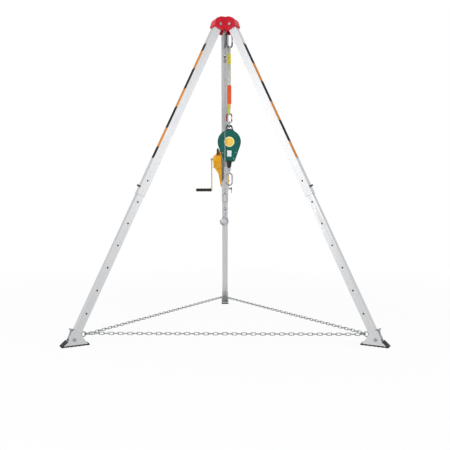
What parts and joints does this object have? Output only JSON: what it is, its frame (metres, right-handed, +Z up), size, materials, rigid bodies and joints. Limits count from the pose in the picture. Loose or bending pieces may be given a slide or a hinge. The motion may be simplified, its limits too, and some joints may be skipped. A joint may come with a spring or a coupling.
{
  "type": "rescue tripod",
  "caption": "Folding confined-space rescue tripod: telescopic legs on a hinged head, hand winch with cable, pulley and hook, and a hanging retractable fall-arrest block.",
  "frame": {"origin": "on the floor, at the centre of the box round the tripod", "axes": "+Z up; the rear leg with the winch is toward +Y, the left leg toward -X"},
  "size_m": [1.9718, 1.7076, 2.14],
  "materials": {
    "red_paint": "smooth red paint on a cast head",
    "leg_aluminium": "satin silver tube",
    "zinc_steel": "zinc plated steel",
    "bright_steel": "bright plated steel",
    "black_rubber": "matt black rubber",
    "black_plastic": "fine grained black plastic",
    "dark_metal": "black oxide steel",
    "winch_yellow": "smooth yellow paint",
    "crank_gold": "yellow passivated steel",
    "block_green": "smooth green paint",
    "olive_webbing": "woven webbing",
    "orange_fabric": "sewn orange cover",
    "maroon_metal": "dark red anodised metal",
    "spring_steel": "blued spring steel",
    "wire_rope": "stranded wire rope"
  },
  "bodies": {
    "head": {"head": "red_paint", "hinge_bolts": "zinc_steel", "pulley_link": "bright_steel", "pulley_block": "zinc_steel", "cable_run": "wire_rope", "cable_fall": "wire_rope", "chain_front": "zinc_steel", "chain_right": "zinc_steel", "chain_left": "zinc_steel"},
    "leg_left": {"upper_tube_left": "leg_aluminium"},
    "leg_right": {"upper_tube_right": "leg_aluminium"},
    "leg_rear": {"upper_tube_rear": "leg_aluminium", "winch_bracket": "winch_yellow", "winch_pins": "dark_metal", "gear_cover": "winch_yellow"},
    "drum": {"winch_drum": "zinc_steel", "cable_winding": "wire_rope", "drum_gear": "zinc_steel"},
    "crank": {"pinion_shaft": "zinc_steel", "ratchet_wheel": "zinc_steel", "crank_arm": "crank_gold"},
    "grip": {"crank_grip": "black_rubber"},
    "pawl": {"pawl": "zinc_steel"},
    "sheave": {"pulley_sheave": "bright_steel"},
    "hook_line": {"cable_eye": "bright_steel"},
    "hook": {"winch_hook": "bright_steel"},
    "hook_latch": {"hook_latch": "bright_steel"},
    "arrester": {"arrest_carabiner": "bright_steel", "lanyard_webbing": "olive_webbing", "energy_absorber": "orange_fabric", "block_carabiner": "maroon_metal", "block_link": "bright_steel", "block_handle": "black_plastic", "block_case": "block_green", "block_back": "block_green", "block_spring": "spring_steel", "block_nozzle": "black_plastic", "block_cable": "wire_rope", "case_screws": "bright_steel"},
    "arrest_gate": {"arrest_gate": "bright_steel"},
    "block_gate": {"block_gate": "bright_steel"},
    "block_drum": {"block_drum": "zinc_steel"},
    "line_end": {"block_swivel": "bright_steel"},
    "block_hook": {"block_hook": "bright_steel"},
    "block_latch": {"block_latch": "bright_steel"},
    "shin_left": {"lower_tube_left": "leg_aluminium", "leg_bolts_left": "zinc_steel"},
    "lock_left": {"lock_plunger_left": "dark_metal"},
    "left_foot": {"foot_left": "leg_aluminium", "sole_left": "black_rubber"},
    "shin_right": {"lower_tube_right": "leg_aluminium", "leg_bolts_right": "zinc_steel"},
    "lock_right": {"lock_plunger_right": "dark_metal"},
    "right_foot": {"foot_right": "leg_aluminium", "sole_right": "black_rubber"},
    "shin_rear": {"lower_tube_rear": "leg_aluminium", "leg_bolts_rear": "zinc_steel"},
    "lock_rear": {"lock_plunger_rear": "dark_metal"},
    "rear_foot": {"foot_rear": "leg_aluminium", "sole_rear": "black_rubber"}
  },
  "joints": [
    {"name": "fold_left", "type": "hinge", "parent": "head", "child": "leg_left", "pos_m": [-0.04936, -0.29579, 2.084], "axis": [0.5, -0.866, 0], "range_deg": [0, 12], "deforming": ["chain_front", "chain_left"]},
    {"name": "slide_left", "type": "slide", "parent": "leg_left", "child": "shin_left", "axis": [0.3769, 0.2176, 0.9003], "range_m": [0, 0.75], "deforming": ["chain_front", "chain_left"]},
    {"name": "foot_left", "type": "hinge", "parent": "shin_left", "child": "left_foot", "pos_m": [-0.90509, -0.78984, 0.04], "axis": [0.5, -0.866, 0], "range_deg": [-20, 20]},
    {"name": "lock_left", "type": "slide", "parent": "leg_left", "child": "lock_left", "axis": [0.5, -0.866, 0], "range_m": [0, 0.01]},
    {"name": "fold_right", "type": "hinge", "parent": "head", "child": "leg_right", "pos_m": [0.04936, -0.29579, 2.084], "axis": [0.5, 0.866, 0], "range_deg": [0, 12], "deforming": ["chain_front", "chain_right"]},
    {"name": "slide_right", "type": "slide", "parent": "leg_right", "child": "shin_right", "axis": [-0.3769, 0.2176, 0.9003], "range_m": [0, 0.75], "deforming": ["chain_front", "chain_right"]},
    {"name": "foot_right", "type": "hinge", "parent": "shin_right", "child": "right_foot", "pos_m": [0.90509, -0.78984, 0.04], "axis": [0.5, 0.866, 0], "range_deg": [-20, 20]},
    {"name": "lock_right", "type": "slide", "parent": "leg_right", "child": "lock_right", "axis": [-0.5, -0.866, 0], "range_m": [0, 0.01]},
    {"name": "fold_rear", "type": "hinge", "parent": "head", "child": "leg_rear", "pos_m": [0, -0.21029, 2.084], "axis": [-1, 0, 0], "range_deg": [0, 12], "deforming": ["chain_right", "chain_left", "cable_run"]},
    {"name": "slide_rear", "type": "slide", "parent": "leg_rear", "child": "shin_rear", "axis": [0, -0.4352, 0.9003], "range_m": [0, 0.75], "deforming": ["chain_right", "chain_left"]},
    {"name": "foot_rear", "type": "hinge", "parent": "shin_rear", "child": "rear_foot", "pos_m": [0, 0.77782, 0.04], "axis": [-1, 0, 0], "range_deg": [-20, 20]},
    {"name": "lock_rear", "type": "slide", "parent": "leg_rear", "child": "lock_rear", "axis": [-1, 0, 0], "range_m": [0, 0.01]},
    {"name": "drum_spin", "type": "hinge", "parent": "leg_rear", "child": "drum", "pos_m": [0, 0.13072, 1.19478], "axis": [-1, 0, 0], "range_deg": [0, 540]},
    {"name": "crank_spin", "type": "hinge", "parent": "leg_rear", "child": "crank", "pos_m": [0, 0.08038, 1.2078], "axis": [-1, 0, 0], "range_deg": [-1800.1, 0.1]},
    {"name": "grip_spin", "type": "hinge", "parent": "crank", "child": "grip", "pos_m": [0, 0.08038, 0.9758], "axis": [-1, 0, 0], "continuous": true},
    {"name": "pawl_swing", "type": "hinge", "parent": "leg_rear", "child": "pawl", "pos_m": [0, 0.10746, 1.22071], "axis": [-1, 0, 0], "range_deg": [0, 10]},
    {"name": "sheave_spin", "type": "hinge", "parent": "head", "child": "sheave", "pos_m": [0, -0.30129, 1.84839], "axis": [-1, 0, 0], "range_deg": [-0.1, 1062.49]},
    {"name": "hook_lift", "type": "slide", "parent": "head", "child": "hook_line", "axis": [0, 0, 1], "range_m": [-0.0001, 0.3413], "deforming": ["cable_fall"]},
    {"name": "hook_swivel", "type": "hinge", "parent": "hook_line", "child": "hook", "pos_m": [0, -0.31969, 0.81759], "axis": [0, 0, 1], "continuous": true},
    {"name": "hook_latch_swing", "type": "hinge", "parent": "hook", "child": "hook_latch", "pos_m": [-0.0106, -0.31969, 0.77013], "axis": [0, -1, 0], "range_deg": [0, 25], "stiffness_Nm_per_rad": 0.2, "springref_deg": -22.92},
    {"name": "arrester_swing", "type": "hinge", "parent": "head", "child": "arrester", "pos_m": [0.02944, -0.25029, 2.052], "axis": [-0.866, -0.5, 0], "range_deg": [-4, 0.5]},
    {"name": "arrest_gate_swing", "type": "hinge", "parent": "arrester", "child": "arrest_gate", "pos_m": [0.0498, -0.23854, 1.98673], "axis": [0.5, -0.866, 0], "range_deg": [0, 20], "stiffness_Nm_per_rad": 0.2, "springref_deg": -22.92},
    {"name": "block_gate_swing", "type": "hinge", "parent": "arrester", "child": "block_gate", "pos_m": [0.04695, -0.25029, 1.45169], "axis": [0, -1, 0], "range_deg": [0, 18], "stiffness_Nm_per_rad": 0.2, "springref_deg": -22.92},
    {"name": "line_pull", "type": "slide", "parent": "arrester", "child": "line_end", "axis": [0, 0, -1], "range_m": [0, 0.5], "stiffness_N_per_m": 20, "springref_m": -0.5, "deforming": ["block_cable"]},
    {"name": "block_drum_spin", "type": "hinge", "parent": "arrester", "child": "block_drum", "pos_m": [0.02944, -0.25029, 1.29097], "axis": [0, 1, 0], "range_deg": [-0.1, 573.1]},
    {"name": "block_swivel_spin", "type": "hinge", "parent": "line_end", "child": "block_hook", "pos_m": [0.02944, -0.25029, 1.09468], "axis": [0, 0, 1], "continuous": true},
    {"name": "block_latch_swing", "type": "hinge", "parent": "block_hook", "child": "block_latch", "pos_m": [0.00894, -0.25029, 1.01649], "axis": [0, 1, 0], "range_deg": [0, 20], "stiffness_Nm_per_rad": 0.2, "springref_deg": -22.92}
  ],
  "couplings": [
    {"joint": "fold_right", "follows": "fold_left", "ratio": 1},
    {"joint": "fold_rear", "follows": "fold_left", "ratio": 1},
    {"joint": "crank_spin", "follows": "drum_spin", "ratio": -3.3333},
    {"joint": "sheave_spin", "follows": "drum_spin", "ratio": 1.9674},
    {"joint": "hook_lift", "follows": "drum_spin", "m_per_rad": 0.0362},
    {"joint": "block_drum_spin", "follows": "line_pull", "rad_per_m": 20}
  ]
}
